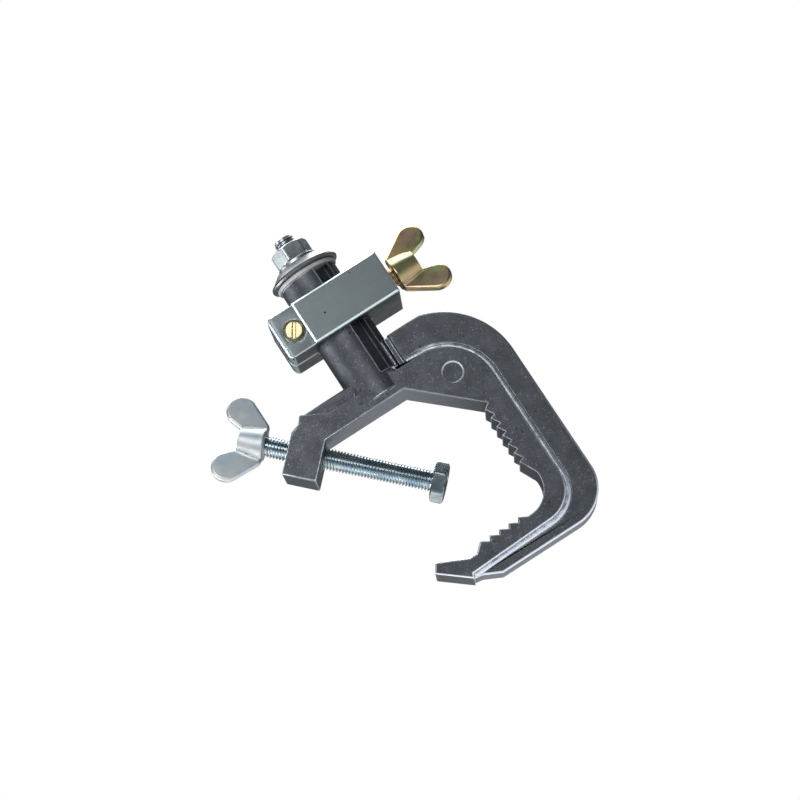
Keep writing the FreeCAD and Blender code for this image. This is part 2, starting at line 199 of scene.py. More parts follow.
def blend(tree, factor, a, b, mode="MIX"):
    """Mix of two colours."""
    node = tree.nodes.new("ShaderNodeMix")
    node.data_type = "RGBA"
    node.blend_type = mode
    for socket, value in ((node.inputs[0], factor), (node.inputs[6], a), (node.inputs[7], b)):
        if isinstance(value, bpy.types.NodeSocket):
            tree.links.new(value, socket)
        else:
            socket.default_value = value
    return node.outputs[2]


def noise(tree, vector, scale, detail=2.0, roughness=0.5):
    node = add(tree, "ShaderNodeTexNoise", {
        "Vector": vector, "Scale": scale, "Detail": detail, "Roughness": roughness})
    return node.outputs[0]


def shader_group(name, inputs, outputs):
    """Empty shader group with named inputs and outputs."""
    tree = bpy.data.node_groups.new(name, "ShaderNodeTree")
    for label, kind, value in inputs:
        socket = tree.interface.new_socket(name=label, in_out="INPUT", socket_type=kind)
        if value is not None:
            socket.default_value = value
    for label, kind in outputs:
        tree.interface.new_socket(name=label, in_out="OUTPUT", socket_type=kind)
    return tree, tree.nodes.new("NodeGroupInput").outputs, tree.nodes.new("NodeGroupOutput").inputs


def edge_wear_highlight_group():
    """Mask that is strong along an edge: rubbed wear, and also where the finishes paint a highlight on the
    edge.
    """
    tree, given, result = shader_group(
        "edge_wear_highlight",
        [("Vector", "NodeSocketVector", None), ("Width", "NodeSocketFloat", 0.001),
         ("Breakup", "NodeSocketFloat", 0.5)],
        [("Mask", "NodeSocketFloat")])
    rounded = add(tree, "ShaderNodeBevel", {"Radius": given["Width"]}, samples=6)
    surface = tree.nodes.new("ShaderNodeNewGeometry")
    agree = add(tree, "ShaderNodeVectorMath", {0: rounded.outputs[0], 1: surface.outputs["Normal"]},
                operation="DOT_PRODUCT").outputs["Value"]
    edge = remap(tree, agree, 0.985, 0.80)
    patches = remap(tree, noise(tree, given["Vector"], 420.0, 3.0), 0.35, 0.62)
    kept = maths(tree, "SUBTRACT", 1.0, given["Breakup"])
    amount = maths(tree, "ADD", maths(tree, "MULTIPLY", patches, given["Breakup"]), kept, True)
    tree.links.new(maths(tree, "MULTIPLY", edge, amount, True), result["Mask"])
    return tree


def cast_grain_group():
    """Skin of a tumbled casting: soft mottling, light flecks, dark pits and their height."""
    tree, given, result = shader_group(
        "cast_grain",
        [("Vector", "NodeSocketVector", None), ("Scale", "NodeSocketFloat", 1.0),
         ("Flecks", "NodeSocketFloat", 1.0), ("Pits", "NodeSocketFloat", 1.0)],
        [("Tone", "NodeSocketFloat"), ("Fleck", "NodeSocketFloat"), ("Pit", "NodeSocketFloat"),
         ("Height", "NodeSocketFloat")])
    place = add(tree, "ShaderNodeVectorMath", {0: given["Vector"]}, operation="SCALE")
    tree.links.new(given["Scale"], place.inputs["Scale"])
    spot = place.outputs[0]
    tone = remap(tree, noise(tree, spot, 130.0, 5.0, 0.6), 0.3, 0.7)
    fleck = remap(tree, noise(tree, spot, 1500.0, 1.0, 0.5), 0.58, 0.72)
    rare = remap(tree, noise(tree, spot, 300.0, 1.0), 0.36, 0.60)
    fleck = maths(tree, "MULTIPLY", maths(tree, "MULTIPLY", fleck, rare), given["Flecks"], True)
    pit = remap(tree, noise(tree, spot, 520.0, 0.0), 0.80, 0.83)
    pit = maths(tree, "MULTIPLY", pit, given["Pits"], True)
    fine = noise(tree, spot, 1500.0, 3.0, 0.65)
    soft = noise(tree, spot, 260.0, 2.0)
    height = maths(tree, "ADD", maths(tree, "MULTIPLY", fine, 0.35), maths(tree, "MULTIPLY", soft, 0.65))
    height = maths(tree, "SUBTRACT", height, pit)
    tree.links.new(tone, result["Tone"])
    tree.links.new(fleck, result["Fleck"])
    tree.links.new(pit, result["Pit"])
    tree.links.new(height, result["Height"])
    return tree


def fine_lines_group():
    """Fine lines left by grinding or turning, drawn out along one direction."""
    tree, given, result = shader_group(
        "fine_lines",
        [("Vector", "NodeSocketVector", None), ("Stretch", "NodeSocketVector", (1.0, 1.0, 1.0)),
         ("Scale", "NodeSocketFloat", 600.0)],
        [("Line", "NodeSocketFloat")])
    drawn = add(tree, "ShaderNodeVectorMath", {0: given["Vector"], 1: given["Stretch"]},
                operation="MULTIPLY").outputs[0]
    coarse = add(tree, "ShaderNodeTexNoise", {
        "Vector": drawn, "Scale": given["Scale"], "Detail": 4.0, "Roughness": 0.7}).outputs[0]
    tree.links.new(remap(tree, coarse, 0.3, 0.7), result["Line"])
    return tree


def plating_group():
    """Thin plating whose tint drifts over the surface."""
    tree, given, result = shader_group(
        "plating_tint",
        [("Vector", "NodeSocketVector", None), ("Base", "NodeSocketColor", (0.6, 0.6, 0.6, 1)),
         ("Cool", "NodeSocketColor", (0.5, 0.6, 0.7, 1)), ("Warm", "NodeSocketColor", (0.7, 0.6, 0.5, 1))],
        [("Color", "NodeSocketColor")])
    first = remap(tree, noise(tree, given["Vector"], 120.0, 3.0, 0.55), 0.42, 0.66)
    spot = add(tree, "ShaderNodeVectorMath", {0: given["Vector"], 1: (0.4, 0.7, 0.2)},
               operation="ADD").outputs[0]
    second = remap(tree, noise(tree, spot, 95.0, 3.0, 0.55), 0.45, 0.68)
    mixed = blend(tree, first, given["Base"], given["Cool"])
    tree.links.new(blend(tree, second, mixed, given["Warm"]), result["Color"])
    return tree


def slanted_faces_group():
    """Masks of a piece's slanted faces, of its rims and of its underside; the finishes use them to paint
    highlights on slanted faces and rims, and to paint undersides lighter or darker as light and shade fall
    there.
    """
    tree, given, result = shader_group(
        "slanted_faces", [("Normal", "NodeSocketVector", None)],
        [("Box", "NodeSocketFloat"), ("Side", "NodeSocketFloat"), ("Under", "NodeSocketFloat")])
    own = add(tree, "ShaderNodeVectorTransform", {"Vector": given["Normal"]}, vector_type="NORMAL",
              convert_from="WORLD", convert_to="OBJECT").outputs[0]
    size = add(tree, "ShaderNodeVectorMath", {0: own}, operation="ABSOLUTE").outputs[0]
    x, y, z = add(tree, "ShaderNodeSeparateXYZ", {0: size}).outputs
    most = maths(tree, "MAXIMUM", maths(tree, "MAXIMUM", x, y), z)
    # Side: the rims, where the casting's painted rim highlight goes.
    side = maths(tree, "MULTIPLY", remap(tree, y, 0.985, 0.90), remap(tree, y, 0.15, 0.40))
    # Box: every slanted face, painted bright as a highlight.
    tree.links.new(remap(tree, most, 0.985, 0.92), result["Box"])
    tree.links.new(side, result["Side"])
    # Under: faces pointing down, painted lit or shaded.
    level = add(tree, "ShaderNodeSeparateXYZ", {0: own}).outputs[2]
    tree.links.new(remap(tree, level, -0.78, -0.95), result["Under"])
    return tree


GROUPS = {}


def group_node(tree, key, inputs):
    """Places a shared shader group, building it the first time."""
    makers = {"edge_wear_highlight": edge_wear_highlight_group, "cast_grain": cast_grain_group,
              "fine_lines": fine_lines_group, "plating_tint": plating_group,
              "slanted_faces": slanted_faces_group}
    if key not in GROUPS:
        GROUPS[key] = makers[key]()
    node = tree.nodes.new("ShaderNodeGroup")
    node.node_tree = GROUPS[key]
    for label, value in inputs.items():
        if isinstance(value, bpy.types.NodeSocket):
            tree.links.new(value, node.inputs[label])
        else:
            node.inputs[label].default_value = value
    return node.outputs


def tint(colour, gain=1.0):
    return (colour[0] * gain, colour[1] * gain, colour[2] * gain, 1.0)


# ---- finishes -----------------------------------------------------------------------------------
def new_finish(name):
    """Material with a Principled shader and the object's own coordinates."""
    material = bpy.data.materials.new(name)
    material.use_nodes = True
    tree = material.node_tree
    shader = tree.nodes["Principled BSDF"]
    here = tree.nodes.new("ShaderNodeTexCoord").outputs["Object"]
    return material, tree, shader, here


def connect(tree, shader, colour, roughness, height, depth, strength=1.0):
    bump = add(tree, "ShaderNodeBump", {"Height": height, "Distance": depth, "Strength": strength})
    tree.links.new(colour, shader.inputs["Base Color"])
    tree.links.new(roughness, shader.inputs["Roughness"])
    tree.links.new(bump.outputs[0], shader.inputs["Normal"])


def slanted(tree, key):
    """Mask of the slanted faces of the piece itself."""
    surface = tree.nodes.new("ShaderNodeNewGeometry").outputs["Normal"]
    return group_node(tree, "slanted_faces", {"Normal": surface})[key]


def marked(tree, label):
    """Share that a piece's own point attribute gives."""
    return add(tree, "ShaderNodeAttribute", attribute_name=label).outputs["Fac"]


def wear_and_painted_highlights(tree, here, worn_lit_edge, tumbled):
    """Painted highlights with rubbed edge wear: on a casting its terrace and rims, on a block every
    slanted face.
    """
    # tumbled picks the casting's painted terrace and rim highlights; otherwise the block's slanted faces
    # are painted bright.
    if not tumbled:
        return maths(tree, "MAXIMUM", worn_lit_edge, maths(tree, "MULTIPLY", slanted(tree, "Box"), 0.8))
    # The casting's terrace walls are painted bright as a highlight, broken into patches.
    patches = remap(tree, noise(tree, here, 330.0, 4.0, 0.6), 0.36, 0.60, 0.35, 1.0)
    terrace = maths(tree, "MULTIPLY", marked(tree, "terrace"), patches)
    # Painted highlight on the casting's rims.
    rim = maths(tree, "MULTIPLY", slanted(tree, "Side"), marked(tree, "rim"))
    return maths(tree, "MAXIMUM", maths(tree, "MAXIMUM", terrace, rim), worn_lit_edge)


def cast_finish(name, colour, edge_mask_width, wear_highlight_gain, flecks, pits, rough, under, tumbled=False):
    """Cast or milled aluminium with flecks and pits, rubbed edges with painted highlights, and a painted
    lighter or darker underside.
    """
    material, tree, shader, here = new_finish(name)
    grain = group_node(tree, "cast_grain", {"Vector": here, "Flecks": flecks, "Pits": pits})
    worn_lit_edge = group_node(tree, "edge_wear_highlight", {"Vector": here, "Width": edge_mask_width, "Breakup": 0.45})
    skin = blend(tree, grain["Tone"], tint(colour, 0.82), tint(colour, 1.16))
    skin = blend(tree, grain["Fleck"], skin, tint(colour, 2.8))
    skin = blend(tree, grain["Pit"], skin, tint(colour, 0.12))
    # Painted light and shade on faces that point down: an under gain above 1 paints them lit from below,
    # one under 1 paints them shaded.
    painted_underside_shading = maths(tree, "MULTIPLY", slanted(tree, "Under"), 0.7)
    skin = blend(tree, painted_underside_shading, skin, tint(colour, under))
    # Painted highlights on the terrace, rims and slanted faces, together with rubbed edge wear.
    bright = wear_and_painted_highlights(tree, here, worn_lit_edge["Mask"], tumbled)
    skin = blend(tree, bright, skin, tint(colour, wear_highlight_gain))
    roughness = remap(tree, grain["Tone"], 0.0, 1.0, rough + 0.06, rough - 0.06)
    roughness = maths(tree, "SUBTRACT", roughness, maths(tree, "MULTIPLY", bright, 0.08))
    shader.inputs["Metallic"].default_value = 0.9
    connect(tree, shader, skin, roughness, grain["Height"], 0.00012)
    return material


def ground_finish(name, colour, stretch, wear_highlight_gain, rough, metallic=0.9):
    """Ground or turned metal with fine lines, worn edges and painted highlights on its edges and slanted
    faces.
    """
    material, tree, shader, here = new_finish(name)
    grain = group_node(tree, "cast_grain", {"Vector": here, "Flecks": 0.25, "Pits": 1.0})
    lines = group_node(tree, "fine_lines", {"Vector": here, "Stretch": stretch, "Scale": 900.0})
    worn_lit_edge = group_node(tree, "edge_wear_highlight", {"Vector": here, "Width": 0.0006, "Breakup": 0.2})
    skin = blend(tree, lines["Line"], tint(colour, 0.9), tint(colour, 1.1))
    skin = blend(tree, maths(tree, "MULTIPLY", grain["Tone"], 0.4), skin, tint(colour, 0.85))
    skin = blend(tree, grain["Pit"], skin, tint(colour, 0.15))
    # Painted highlight on every slanted face, together with worn edges.
    bright = maths(tree, "MAXIMUM", worn_lit_edge["Mask"], slanted(tree, "Box"))
    skin = blend(tree, bright, skin, tint(colour, wear_highlight_gain))
    roughness = remap(tree, lines["Line"], 0.0, 1.0, rough - 0.07, rough + 0.07)
    shader.inputs["Metallic"].default_value = metallic
    connect(tree, shader, skin, roughness, lines["Line"], 0.00002)
    return material


def plated_finish(name, base, cool, warm, rough, wear_highlight_gain=1.2, depth=0.00003):
    """Zinc plate, its tint drifting a little, on steel or a zinc casting."""
    material, tree, shader, here = new_finish(name)
    colour = group_node(tree, "plating_tint", {"Vector": here, "Base": base, "Cool": cool, "Warm": warm})
    grain = group_node(tree, "cast_grain", {"Vector": here, "Flecks": 0.0, "Pits": 0.0})
    worn_lit_edge = group_node(tree, "edge_wear_highlight", {"Vector": here, "Width": 0.0005, "Breakup": 0.5})
    # Edges lightened a little by the edge mask: rubbed wear with a painted highlight.
    rub = maths(tree, "MULTIPLY", worn_lit_edge["Mask"], 0.5)
    skin = blend(tree, rub, colour["Color"], tint(base, wear_highlight_gain))
    roughness = remap(tree, grain["Tone"], 0.0, 1.0, rough - 0.05, rough + 0.08)
    shader.inputs["Metallic"].default_value = 1.0
    connect(tree, shader, skin, roughness, grain["Height"], depth)
    return material


def nylon_finish():
    """Pale nylon of the friction washer."""
    material, tree, shader, here = new_finish("grey_nylon")
    grain = group_node(tree, "cast_grain", {"Vector": here, "Flecks": 0.0, "Pits": 0.3})
    skin = blend(tree, grain["Tone"], (0.50, 0.52, 0.53, 1), (0.64, 0.65, 0.65, 1))
    roughness = remap(tree, grain["Tone"], 0.0, 1.0, 0.35, 0.5)
    connect(tree, shader, skin, roughness, grain["Height"], 0.00004)
    return material


FINISHES = {}


def finish(name):
    """The named finish, made when it is first asked for."""
    look = bpy.context.scene.clamp_finish
    zinc = tuple(look.zinc)
    gold = tuple(look.yellow_zinc)
    makers = {
        # The casting's undersides are painted lit (under 2.6) and the block's underside painted shaded
        # (under 0.08); the wear highlight gains set how bright the painted edge highlights are.
        "cast_aluminium": lambda: cast_finish(
            "cast_aluminium", look.casting, edge_mask_width=0.0012, wear_highlight_gain=8.0, flecks=0.7, pits=0.6,
            rough=0.5, under=2.6, tumbled=True),
        "block_aluminium": lambda: cast_finish(
            "block_aluminium", look.block, edge_mask_width=0.0010, wear_highlight_gain=4.4, flecks=0.3, pits=0.8,
            rough=0.42, under=0.08),
        "plate_aluminium": lambda: ground_finish(
            "plate_aluminium", look.plate, (0.12, 1.0, 1.0), 5.0, 0.4),
        "plain_steel": lambda: ground_finish(
            "plain_steel", (0.42, 0.43, 0.45), (1.0, 1.0, 1.0), 1.1, 0.34, 1.0),
        "dull_steel": lambda: ground_finish(
            "dull_steel", (0.15, 0.155, 0.165), (0.5, 0.5, 1.0), 1.6, 0.4, 1.0),
        "bright_zinc": lambda: plated_finish(
            "bright_zinc", tint(zinc, 0.8), tint(zinc, 0.65), tint(zinc, 0.9), 0.34),
        "screw_zinc": lambda: plated_finish(
            "screw_zinc", tint((0.44, 0.54, 0.60)), (0.30, 0.42, 0.50, 1), (0.62, 0.66, 0.66, 1), 0.2),
        "wing_zinc": lambda: plated_finish(
            "wing_zinc", tint(zinc, 0.95), (0.50, 0.60, 0.68, 1), (0.72, 0.74, 0.74, 1), 0.48,
            1.2, 0.00006),
        "yellow_zinc": lambda: plated_finish(
            "yellow_zinc", tint(gold), (0.44, 0.50, 0.27, 1), (0.62, 0.42, 0.36, 1), 0.32,
            1.25, 0.00002),
        "brass": lambda: plated_finish(
            "brass", tint(look.brass), tint(look.brass, 0.8), tint(look.brass, 1.1), 0.24),
        "grey_nylon": nylon_finish,
    }
    if name not in FINISHES:
        FINISHES[name] = makers[name]()
    return FINISHES[name]


# ---- mesh helpers -------------------------------------------------------------------------------
def cad_copy(node):
    """Merged copy of a CAD node with its flat faces joined."""
    bm = bmesh.new()
    bm.from_mesh(frame["nodes"][node].data)
    bmesh.ops.remove_doubles(bm, verts=bm.verts, dist=2e-6)
    bmesh.ops.dissolve_limit(bm, angle_limit=math.radians(0.5), verts=bm.verts, edges=bm.edges,
                             use_dissolve_boundaries=False, delimit=set())
    return bm


def weight_edges(bm, rule, least=math.radians(22)):
    """Marks each sharp edge with the share of the rounding that the rule gives it."""
    layer = bm.edges.layers.float.new("bevel_weight_edge")
    for edge in bm.edges:
        if len(edge.link_faces) == 2 and edge.calc_face_angle(0.0) > least:
            edge[layer] = rule(edge)


def piece(name, bm, slot, body, nodes, smooth=math.radians(33)):
    """Finished piece from a bmesh, with its finish, its body and the CAD nodes it stands for."""
    mesh = bpy.data.meshes.new(name)
    bm.to_mesh(mesh)
    bm.free()
    for label in ("custom_normal", "sharp_face", "sharp_edge"):
        if label in mesh.attributes:
            mesh.attributes.remove(mesh.attributes[label])
    mesh.shade_smooth()
    mesh.set_sharp_from_angle(angle=smooth)
    mesh.materials.clear()
    mesh.materials.append(finish(slot))
    thing = bpy.data.objects.new(name, mesh)
    bpy.context.scene.collection.objects.link(thing)
    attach(thing, body)
    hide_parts(*nodes)
    return thing


def rounded(thing, width, segments=3):
    """Rounds the weighted edges and keeps the flats flat in the shading."""
    bevel = thing.modifiers.new("rounding", "BEVEL")
    bevel.width = width
    bevel.segments = segments
    bevel.profile = 0.5
    bevel.limit_method = "WEIGHT"
    bevel.use_clamp_overlap = False
    bevel.miter_outer = "MITER_SHARP"
    normals = thing.modifiers.new("flat_faces", "WEIGHTED_NORMAL")
    normals.keep_sharp = True
    return thing


def rounded_copy(name, node, slot, body, width, segments=3, rule=lambda edge: 1.0):
    """CAD node with its edges rounded."""
    bm = cad_copy(node)
    weight_edges(bm, rule)
    return rounded(piece(name, bm, slot, body, [node], math.radians(50)), width, segments)


def along(node, axis):
    """Lowest and highest distance of a CAD node along an axis through the frame's origin."""
    reach = [axis.dot(v.co) for v in frame["nodes"][node].data.vertices]
    return min(reach), max(reach)


def stand(bm, base, direction):
    """Moves geometry built up the Z axis so that it stands at base and points along direction."""
    swing = POST_AXIS.rotation_difference(direction).to_matrix().to_4x4()
    bmesh.ops.transform(bm, matrix=Matrix.Translation(base) @ swing, verts=bm.verts)


def threaded_bar(bm, radius, length, start_taper=0.0, end_taper=0.0):
    """Bar with a right-hand thread, standing on the XY plane."""
    shape = bpy.context.scene.clamp_shape
    pitch, root, steps = shape.thread_pitch, radius - shape.thread_depth, shape.thread_steps
    profile = [(root, 0.0), (root, 0.16), (radius, 0.46), (radius, 0.62), (root, 0.92), (root, 1.0)]
    verts = [bm.verts.new((r, 0.0, (h - 2.0) * pitch)) for r, h in profile]
    edges = [bm.edges.new(pair) for pair in zip(verts, verts[1:])]
    bmesh.ops.spin(bm, geom=verts + edges, cent=(0, 0, 0), axis=(0, 0, 1),
                   dvec=(0, 0, pitch / steps), angle=2 * math.pi, steps=steps, use_merge=False)
    turns = 1
    while turns < length / pitch + 4:
        copied = bmesh.ops.duplicate(bm, geom=bm.verts[:] + bm.edges[:] + bm.faces[:])["geom"]
        bmesh.ops.translate(bm, verts=[g for g in copied if isinstance(g, bmesh.types.BMVert)],
                            vec=(0, 0, turns * pitch))
        turns *= 2
    bmesh.ops.remove_doubles(bm, verts=bm.verts, dist=1e-6)
    for height, normal in ((0.0, (0, 0, -1)), (length, (0, 0, 1))):
        bmesh.ops.bisect_plane(bm, geom=bm.verts[:] + bm.edges[:] + bm.faces[:], dist=1e-8,
                               plane_co=(0, 0, height), plane_no=normal, clear_outer=True)
        rim = [e for e in bm.edges if e.is_boundary and abs(e.verts[0].co.z - height) < 1e-7]
        bmesh.ops.holes_fill(bm, edges=rim, sides=0)
    for v in bm.verts:
        room = min(v.co.z + radius - start_taper if start_taper else radius,
                   length - v.co.z + radius - end_taper if end_taper else radius)
        across = math.hypot(v.co.x, v.co.y)
        if across > room:
            v.co.x *= room / across
            v.co.y *= room / across
    bmesh.ops.recalc_face_normals(bm, faces=bm.faces)


def hexagon(node, direction, bore, sunk):
    """Hexagonal head or nut in a CAD node's place, with chamfered ends and a countersink."""
    low, high = along(node, direction)
    centre = sum((v.co for v in frame["nodes"][node].data.vertices), Vector())
    centre = centre / len(frame["nodes"][node].data.vertices)
    base = centre + direction * (low - direction.dot(centre))
    swing = POST_AXIS.rotation_difference(direction).to_matrix()
    corner = max(((v.co - base) @ swing for v in frame["nodes"][node].data.vertices),
                 key=lambda co: co.xy.length)
    reach, height, turn = corner.xy.length, high - low, math.atan2(corner.y, corner.x)
    flat = reach * math.sqrt(3) / 2
    face = flat - 0.0002
    drop = (reach - flat) * 0.6
    bm = bmesh.new()
    bmesh.ops.create_cone(bm, cap_ends=True, segments=96, radius1=reach, radius2=reach, depth=height,
                          matrix=Matrix.Translation((0, 0, height / 2)) @ Matrix.Rotation(turn, 4, "Z"))
    for share in (0.25, 0.5, 0.75, 1.0):
        for level in (share * drop, height - share * drop):
            bmesh.ops.bisect_plane(bm, geom=bm.verts[:] + bm.edges[:] + bm.faces[:], dist=1e-8,
                                   plane_co=(0, 0, level), plane_no=(0, 0, 1))
    for v in bm.verts:
        across = v.co.xy.length
        sixth = (math.atan2(v.co.y, v.co.x) - turn) % math.radians(60) - math.radians(30)
        cone = face + min(v.co.z, height - v.co.z) / drop * (reach - flat)
        room = min(flat / math.cos(sixth), reach - 0.00015, cone)
        v.co.x *= room / across
        v.co.y *= room / across
    for cap in [f for f in bm.faces if len(f.verts) > 12]:
        down = -cap.normal
        bmesh.ops.inset_individual(bm, faces=[cap], thickness=face - bore - sunk)
        bmesh.ops.inset_individual(bm, faces=[cap], thickness=sunk)
        bmesh.ops.translate(bm, verts=cap.verts, vec=down * sunk)
    bmesh.ops.transform(bm, matrix=Matrix.Translation(base) @ swing.to_4x4(), verts=bm.verts)
    return bm


def turned(bm, profile, steps=64):
    """Closed turned shape from a closed (radius, height) section."""
    verts = [bm.verts.new((r, 0.0, h)) for r, h in profile]
    edges = [bm.edges.new(pair) for pair in zip(verts, verts[1:] + verts[:1])]
    bmesh.ops.spin(bm, geom=verts + edges, cent=(0, 0, 0), axis=(0, 0, 1), angle=2 * math.pi,
                   steps=steps, use_merge=True)
    bmesh.ops.remove_doubles(bm, verts=bm.verts, dist=1e-7)
    bmesh.ops.recalc_face_normals(bm, faces=bm.faces)


# ---- pieces -------------------------------------------------------------------------------------
def in_dimple(x, z):
    return math.hypot(x - DIMPLE[0], z - DIMPLE[1]) < DIMPLE_REACH


def in_post(x, y):
    return math.hypot(x - PIVOT.x * 1000, y) < POST_REACH


def casting_rule(edge):
    """Share of the casting's edge radius for one edge: full on the terrace, none in holes."""
    a, b = (v.co * 1000 for v in edge.verts)
    x, y, z = (a + b) / 2
    jaw = -23.5 < z < 36 and -17.5 < x < 24.5
    flat = abs(abs(a.y) - abs(b.y)) < 0.001 and min(abs(abs(y) - level) for level in RIM_SHARES) < 0.001
    across = abs(a.x - b.x) + abs(a.z - b.z) < 0.001
    bore = abs(x + z) < 10.0 and x < -50
    if jaw or bore or in_dimple(x, z) or edge.calc_face_angle_signed(0.0) < 0:
        return 0.0
    if flat:
        return RIM_SHARES[round(abs(y))]
    return 0.3 if across and not in_post(x, y) else 0.0


class ClampCasting(bpy.types.Operator):
    """Rounds the hooked casting's edges, gives it its cast skin and marks where its highlights are painted
    """
    bl_idname = "clamp.casting"
    bl_label = "Casting"

    def execute(self, context):
        bm = cad_copy("hook_casting")
        self.join_slot_corners(bm)
        weight_edges(bm, casting_rule)
        # Shares of the painted highlights: full on the terrace, less on the back leg; on the rims stronger
        # low down than high up, none on the post.
        terrace, rim = bm.verts.layers.float.new("terrace"), bm.verts.layers.float.new("rim")
        for v in bm.verts:
            x, y, z = v.co * 1000
            back_leg = x > 26 and -8 < z < 44
            post = z > 60 and in_post(x, y)
            v[terrace] = (0.45 if back_leg else 1.0) if abs(abs(y) - TERRACE) < 0.01 else 0.0
            v[rim] = 0.0 if post else 0.8 if in_dimple(x, z) else 0.3 if z > 8 else 1.0
        casting = piece("hook_casting_cast", bm, "cast_aluminium", "casting", ["hook_casting"],
                        math.radians(50))
        rounded(casting, context.scene.clamp_shape.cast_edge)
        return {"FINISHED"}

    def join_slot_corners(self, bm):
        """Joins the two corners at the slot's top, too close together to be rounded apart."""
        near = [v for v in bm.verts if abs(v.co.x - 0.00065) < 0.0003 and v.co.z > 0.085
                and abs(abs(v.co.y) - 0.009) < 1e-5]
        bmesh.ops.remove_doubles(bm, verts=near, dist=0.0003)


class ClampJawScrew(bpy.types.Operator):
    """Cuts the thread of the 45 degree screw and rounds its hexagonal foot"""
    bl_idname = "clamp.jaw_screw"
    bl_label = "Jaw screw"

    def execute(self, context):
        low, high = along("jaw_rod", SCREW_AXIS)
        foot_back = along("jaw_foot", SCREW_AXIS)[0]
        bm = bmesh.new()
        threaded_bar(bm, THREAD_R, foot_back - low - END_GAP, END_TAPER, END_TAPER)
        neck = bmesh.ops.create_cone(bm, cap_ends=True, segments=48, radius1=0.0033, radius2=0.003,
                                     depth=high - foot_back)["verts"]
        bmesh.ops.translate(bm, verts=neck, vec=(0, 0, (high + foot_back) / 2 - low - 0.0002))
        stand(bm, SCREW_AXIS * low, SCREW_AXIS)
        piece("jaw_rod_threaded", bm, "screw_zinc", "jaw_screw", ["jaw_rod"])
        foot = hexagon("jaw_foot", SCREW_AXIS, 0.0036, 0.0004)
        piece("jaw_foot_hex", foot, "screw_zinc", "foot", ["jaw_foot"], math.radians(25))
        return {"FINISHED"}


class ClampWings(bpy.types.Operator):
    """Rounds the two cast wing heads"""
    bl_idname = "clamp.wings"
    bl_label = "Wing heads"

    def execute(self, context):
        width = context.scene.clamp_shape.wing_edge
        rounded_copy("jaw_wing_cast", "jaw_wing", "wing_zinc", "jaw_screw", width, 4,
                     lambda edge: self.share(edge, Vector(), SCREW_AXIS))
        rounded_copy("lock_wing_cast", "lock_wing", "yellow_zinc", "lock_bolt", width, 4,
                     lambda edge: self.share(edge, PIVOT, LOCK_AXIS))
        return {"FINISHED"}

    def share(self, edge, on_axis, axis):
        """Full on the ears, a little on the hub's end, none in the bore or the cross hole."""
        hub_end, bore, back, short = 0.0066, 0.0055, 0.0052, 0.0009
        reach = [(v.co - on_axis).cross(axis).length for v in edge.verts]
        if max(reach) < hub_end:
            return 0.0 if min(reach) < bore else 0.2
        cross_hole = min(v.co.y for v in edge.verts) > back and edge.calc_length() < short
        return 0.0 if cross_hole else 1.0


class ClampStack(bpy.types.Operator):
    """Stacks the threaded stud, the washers and the nut on the post"""
    bl_idname = "clamp.stack"
    bl_label = "Stud, washers and nut"

    def execute(self, context):
        edge = context.scene.clamp_shape.turned_edge
        low, high = along("stud", POST_AXIS)
        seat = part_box("friction_washer")[0].z
        bm = bmesh.new()
        threaded_bar(bm, THREAD_R, high - seat, 0.0, 0.0010)
        stand(bm, Vector((PIVOT.x, 0, seat)), POST_AXIS)
        shank = bmesh.ops.create_cone(bm, cap_ends=True, segments=48, radius1=0.0048, radius2=0.0048,
                                      depth=seat - low + 0.0004)["verts"]
        bmesh.ops.translate(bm, verts=shank, vec=(PIVOT.x, 0, (seat + low) / 2 + 0.0002))
        piece("stud_threaded", bm, "bright_zinc", "casting", ["stud"])
        nut = hexagon("stud_nut", POST_AXIS, 0.0048, 0.0006)
        piece("stud_nut_hex", nut, "bright_zinc", "casting", ["stud_nut"], math.radians(25))
        rounded_copy("plain_washer_pressed", "plain_washer", "bright_zinc", "casting", edge * 1.3)
        rounded_copy("friction_washer_moulded", "friction_washer", "grey_nylon", "casting", edge * 1.6)
        self.cup()
        return {"FINISHED"}

    def cup(self):
        """Pressed cup washer with a rolled rim."""
        low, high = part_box("cup_washer")
        rim, top, height = (high.x - low.x) / 2, 0.0112, high.z - low.z
        bm = bmesh.new()
        turned(bm, [(0.0054, height), (top, height), (top + 0.0012, height - 0.0002),
                    (rim - 0.0012, 0.0024), (rim - 0.0003, 0.0019), (rim, 0.0011),
                    (rim - 0.0003, 0.0003), (rim - 0.0012, 0.0), (rim - 0.0034, 0.0),
                    (rim - 0.0040, 0.0004), (top - 0.0010, height - 0.0022),
                    (top - 0.0020, height - 0.0019), (0.0054, height - 0.0019)], 96)
        stand(bm, Vector((PIVOT.x, 0, low.z)), POST_AXIS)
        piece("cup_washer_pressed", bm, "dull_steel", "casting", ["cup_washer"], math.radians(40))


class ClampBlock(bpy.types.Operator):
    """Rounds the split swivel block, its face plate and the slotted tension screw"""
    bl_idname = "clamp.block"
    bl_label = "Swivel block"

    def execute(self, context):
        shape = context.scene.clamp_shape
        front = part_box("face_plate")[1].y
        rounded_copy("swivel_block_split", "swivel_block", "block_aluminium", "swivel", shape.block_edge,
                     3, lambda edge: self.share(edge, front))
        rounded_copy("face_plate_ground", "face_plate", "plate_aluminium", "swivel", 0.00018, 2)
        rounded_copy("tension_screw_slotted", "tension_screw", "brass", "swivel", shape.turned_edge)
        rounded_copy("tension_washer_turned", "tension_washer", "brass", "swivel", 0.00018, 2)
        nut = hexagon("tension_nut", Vector((0, 1, 0)), 0.0024, 0.0003)
        piece("tension_nut_hex", nut, "brass", "swivel", ["tension_nut"], math.radians(25))
        return {"FINISHED"}

    def share(self, edge, front):
        """Full round the front face, less elsewhere."""
        return 1.0 if all(abs(v.co.y - front) < 1e-5 for v in edge.verts) else 0.5


